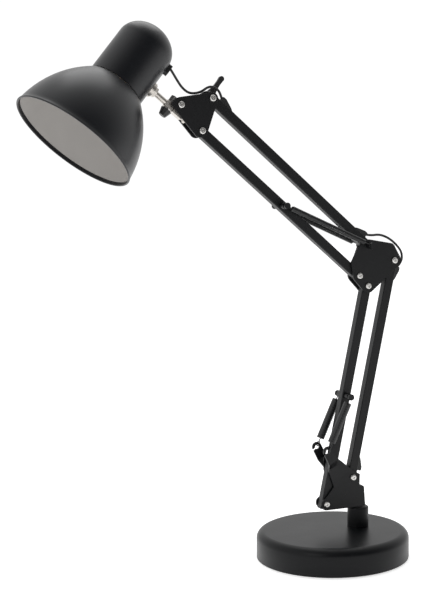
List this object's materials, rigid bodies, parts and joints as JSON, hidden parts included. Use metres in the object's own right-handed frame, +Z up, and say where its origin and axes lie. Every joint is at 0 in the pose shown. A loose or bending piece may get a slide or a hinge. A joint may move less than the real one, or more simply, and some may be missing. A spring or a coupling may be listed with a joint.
{
  "type": "swing arm desk lamp",
  "caption": "Desk lamp with a round weighted swivel base, two sprung parallelogram arms, a tilting and turning bell shade, and a lead run through the tubes.",
  "frame": {"origin": "middle of the base's underside, on the desk", "axes": "+Z up, the arms lie in the XZ plane and the shade is towards -X, -Y is the side with the screw heads"},
  "size_m": [0.4913, 0.2, 0.6677],
  "materials": {
    "base_paint": "satin black",
    "arm_paint": "satin black",
    "shade_paint": "satin black",
    "shade_inside": "matt light grey",
    "cast_weight": "rough",
    "zinc_steel": "zinc plated",
    "nickel": "satin nickel",
    "black_plastic": "fine grain",
    "spring_wire": "black oxide",
    "sleeve_vinyl": "soft sheen",
    "lead_sheath": "soft sheen",
    "foam_pad": "matt",
    "brass_thread": "drawn",
    "white_ceramic": "glazed"
  },
  "bodies": {
    "base": {"base_cover": "base_paint", "base_weight": "cast_weight", "base_bottom_plate": "zinc_steel", "base_pad": "foam_pad", "collar": "base_paint", "collar_screw": "zinc_steel"},
    "bracket": {"spigot": "zinc_steel", "bracket_block": "arm_paint", "bracket_plate_far": "arm_paint", "bracket_plate_near": "arm_paint", "bracket_rivets": "arm_paint", "bracket_screws": "zinc_steel", "bracket_nuts": "zinc_steel"},
    "lower_rear": {"lower_rear_tube": "arm_paint", "lower_lead_guides": "black_plastic", "lead_lower_run": "lead_sheath"},
    "lower_front": {"lower_front_tube": "arm_paint", "lower_front_plugs": "black_plastic", "lower_spring_pin": "arm_paint", "lower_springs": "spring_wire", "lower_sleeves": "sleeve_vinyl"},
    "elbow": {"elbow_plate_far": "arm_paint", "elbow_plate_near": "arm_paint", "elbow_screws": "zinc_steel", "elbow_nuts": "zinc_steel", "elbow_spring_pin": "arm_paint", "lead_elbow_lower": "lead_sheath"},
    "upper_upper": {"upper_upper_tube": "arm_paint", "upper_lead_guides": "black_plastic", "lead_upper_run": "lead_sheath", "lead_elbow_upper": "lead_sheath"},
    "upper_lower": {"upper_lower_tube": "arm_paint", "upper_lower_plugs": "black_plastic", "upper_spring_pin": "arm_paint", "upper_springs": "spring_wire"},
    "head_bracket": {"head_plate_far": "arm_paint", "head_plate_near": "arm_paint", "head_screws": "zinc_steel", "head_nuts": "zinc_steel", "lead_head_fold": "lead_sheath", "lead_head_tilt": "lead_sheath"},
    "friction_wing": {"friction_wing": "black_plastic"},
    "clamp": {"clamp_block": "nickel", "clamp_fasteners": "zinc_steel", "lead_head_swivel": "lead_sheath"},
    "clamp_knob": {"clamp_knob": "black_plastic"},
    "head": {"stem": "nickel", "stem_seat": "nickel", "stem_washer": "nickel", "stem_nuts": "nickel", "stem_end_ring": "nickel", "bell_shade": "shade_paint", "bell_liner": "shade_inside", "head_cap": "shade_paint", "head_grommet": "black_plastic", "holder_shell": "black_plastic", "holder_thread_sleeve": "brass_thread", "holder_core": "white_ceramic", "holder_contact": "brass_thread", "holder_neck": "nickel"}
  },
  "joints": [
    {"name": "base_swivel", "type": "hinge", "parent": "base", "child": "bracket", "pos_m": [0.037, 0, 0.05], "axis": [0, 0, 1], "range_deg": [-170, 170]},
    {"name": "lower_arm", "type": "hinge", "parent": "bracket", "child": "lower_rear", "pos_m": [0.0254, 0, 0.1042], "axis": [0, -1, 0], "range_deg": [-20, 50]},
    {"name": "lower_front_link", "type": "hinge", "parent": "bracket", "child": "lower_front", "pos_m": [-0.0127, 0, 0.072], "axis": [0, -1, 0], "range_deg": [-20, 50], "deforming": ["lower_springs", "lower_sleeves"]},
    {"name": "elbow_level", "type": "hinge", "parent": "lower_rear", "child": "elbow", "pos_m": [0.08472, 0, 0.38643], "axis": [0, -1, 0], "range_deg": [-50, 20], "deforming": ["lead_elbow_lower"]},
    {"name": "upper_arm", "type": "hinge", "parent": "elbow", "child": "upper_upper", "pos_m": [0.04762, 0, 0.40583], "axis": [0, -1, 0], "range_deg": [-40, 70], "deforming": ["lead_elbow_upper"]},
    {"name": "upper_lower_link", "type": "hinge", "parent": "elbow", "child": "upper_lower", "pos_m": [0.03412, 0, 0.36753], "axis": [0, -1, 0], "range_deg": [-40, 70], "deforming": ["upper_springs"]},
    {"name": "head_level", "type": "hinge", "parent": "upper_upper", "child": "head_bracket", "pos_m": [-0.16187, 0, 0.58274], "axis": [0, -1, 0], "range_deg": [-70, 40], "deforming": ["lead_head_fold"]},
    {"name": "head_tilt", "type": "hinge", "parent": "head_bracket", "child": "clamp", "pos_m": [-0.20107, 0, 0.57384], "axis": [0, -1, 0], "range_deg": [-30, 40], "deforming": ["lead_head_tilt"]},
    {"name": "head_swivel", "type": "hinge", "parent": "clamp", "child": "head", "pos_m": [-0.20639, 0, 0.56734], "axis": [0.7744, 0, -0.6327], "range_deg": [-90, 90], "deforming": ["lead_head_swivel"]},
    {"name": "wing_turn", "type": "hinge", "parent": "head_bracket", "child": "friction_wing", "pos_m": [-0.16187, 0, 0.58274], "axis": [0, -1, 0], "range_deg": [-60, 60]},
    {"name": "knob_turn", "type": "hinge", "parent": "clamp", "child": "clamp_knob", "pos_m": [-0.21904, 0, 0.56528], "axis": [0.6327, 0, 0.7744], "range_deg": [-90, 90]}
  ],
  "couplings": [
    {"joint": "lower_front_link", "follows": "lower_arm", "ratio": 1},
    {"joint": "elbow_level", "follows": "lower_arm", "ratio": -1},
    {"joint": "upper_lower_link", "follows": "upper_arm", "ratio": 1},
    {"joint": "head_level", "follows": "upper_arm", "ratio": -1}
  ]
}
